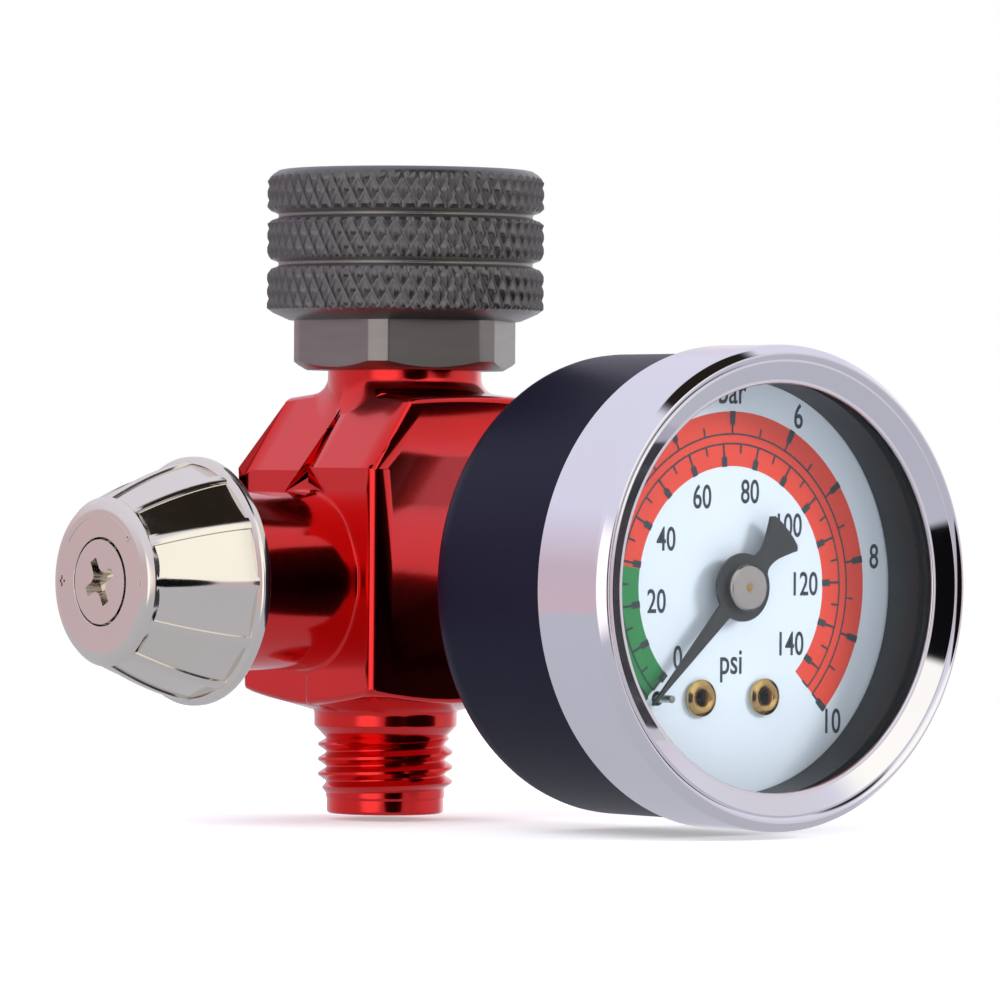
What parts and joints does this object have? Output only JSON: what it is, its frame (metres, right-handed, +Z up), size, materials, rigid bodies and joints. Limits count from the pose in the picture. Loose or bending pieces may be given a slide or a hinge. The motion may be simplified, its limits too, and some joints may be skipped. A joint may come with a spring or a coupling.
{
  "type": "in-line air regulator",
  "caption": "In-line air regulator for an airbrush or spray gun: threaded inlet, knurled swivel outlet nut, adjusting knob and a round pressure gauge.",
  "frame": {"origin": "centre of the inlet thread's end face", "axes": "+Z up the inlet thread's axis towards the swivel nut, knob towards -X, gauge facing -Y"},
  "size_m": [0.0651, 0.0638, 0.0626],
  "materials": {
    "anodised_red": "glossy red anodised aluminium",
    "gunmetal": "dark gun-metal plating, satin",
    "satin_nickel": "satin nickel, slightly warm",
    "bright_chrome": "bright chrome plating",
    "black_enamel": "near-black enamel with a blue sheen",
    "black_plastic": "matt black moulding",
    "clear_window": "clear flat window",
    "dial_print": "white printed dial with red and green bands",
    "pointer_black": "satin black paint",
    "brushed_cap": "circular brushed cap",
    "eyelet_brass": "polished brass",
    "turned_brass": "turned brass",
    "turned_steel": "turned steel",
    "spring_bronze": "drawn bronze",
    "black_rubber": "nitrile rubber",
    "seal_plastic": "off-white seal plastic"
  },
  "bodies": {
    "regulator": {"body": "anodised_red", "valve_seat": "seal_plastic", "gland_nut": "turned_brass", "bonnet_o_ring": "black_rubber", "nut_retaining_ring": "turned_steel", "outlet_seal": "seal_plastic", "gauge_socket": "turned_brass", "stem_seal": "black_rubber", "gauge_case": "black_enamel", "gauge_bezel": "bright_chrome", "gauge_lens": "clear_window", "lens_gasket": "black_rubber", "dial_spacer": "black_plastic", "dial_plate": "dial_print", "dial_rivet_left": "eyelet_brass", "dial_rivet_right": "eyelet_brass", "stop_pin": "turned_steel", "movement_front_plate": "turned_brass", "movement_back_plate": "turned_brass", "movement_pillar_left": "turned_brass", "movement_pillar_right": "turned_brass", "movement_screw_left": "turned_steel", "movement_screw_right": "turned_steel", "hairspring": "spring_bronze"},
    "swivel_nut": {"swivel_nut": "gunmetal"},
    "spindle_carriage": {"spindle_o_ring": "black_rubber"},
    "knob": {"adjusting_knob": "satin_nickel", "knob_screw": "satin_nickel", "valve_spindle": "turned_steel"},
    "pointer": {"pointer": "pointer_black", "pointer_cap": "brushed_cap", "pointer_arbor": "turned_steel"},
    "sector": {"sector_gear": "turned_brass"},
    "tube": {"bourdon_tube": "spring_bronze", "tube_tip": "spring_bronze"},
    "link": {"sector_link": "turned_brass"}
  },
  "joints": [
    {"name": "nut_spin", "type": "hinge", "parent": "regulator", "child": "swivel_nut", "pos_m": [0.0021, 0, 0.053], "axis": [0, 0, 1], "continuous": true},
    {"name": "spindle_travel", "type": "slide", "parent": "regulator", "child": "spindle_carriage", "axis": [-1, 0, 0], "range_m": [-0.001, 0.002]},
    {"name": "knob_turn", "type": "hinge", "parent": "spindle_carriage", "child": "knob", "pos_m": [0, 0, 0.0227], "axis": [-1, 0, 0], "range_deg": [-360, 720]},
    {"name": "pointer_turn", "type": "hinge", "parent": "regulator", "child": "pointer", "pos_m": [0.0082, -0.037, 0.0227], "axis": [0, 1, 0], "range_deg": [0, 270]},
    {"name": "sector_turn", "type": "hinge", "parent": "regulator", "child": "sector", "pos_m": [0.0082, -0.037, 0.0157], "axis": [0, 1, 0], "range_deg": [-45.5, 0]},
    {"name": "tube_flex", "type": "hinge", "parent": "regulator", "child": "tube", "pos_m": [0.006, -0.03, 0.0104], "axis": [0, 1, 0], "range_deg": [-9.1, 0]},
    {"name": "link_swing", "type": "hinge", "parent": "tube", "child": "link", "pos_m": [0.0167, -0.038, 0.0102], "axis": [0, 1, 0], "range_deg": [0, 9.2]}
  ],
  "couplings": [
    {"joint": "knob_turn", "follows": "spindle_travel", "rad_per_m": 6283.2},
    {"joint": "sector_turn", "follows": "pointer_turn", "ratio": -0.16667},
    {"joint": "tube_flex", "follows": "pointer_turn", "ratio": -0.033494},
    {"joint": "link_swing", "follows": "pointer_turn", "ratio": 0.033758}
  ]
}
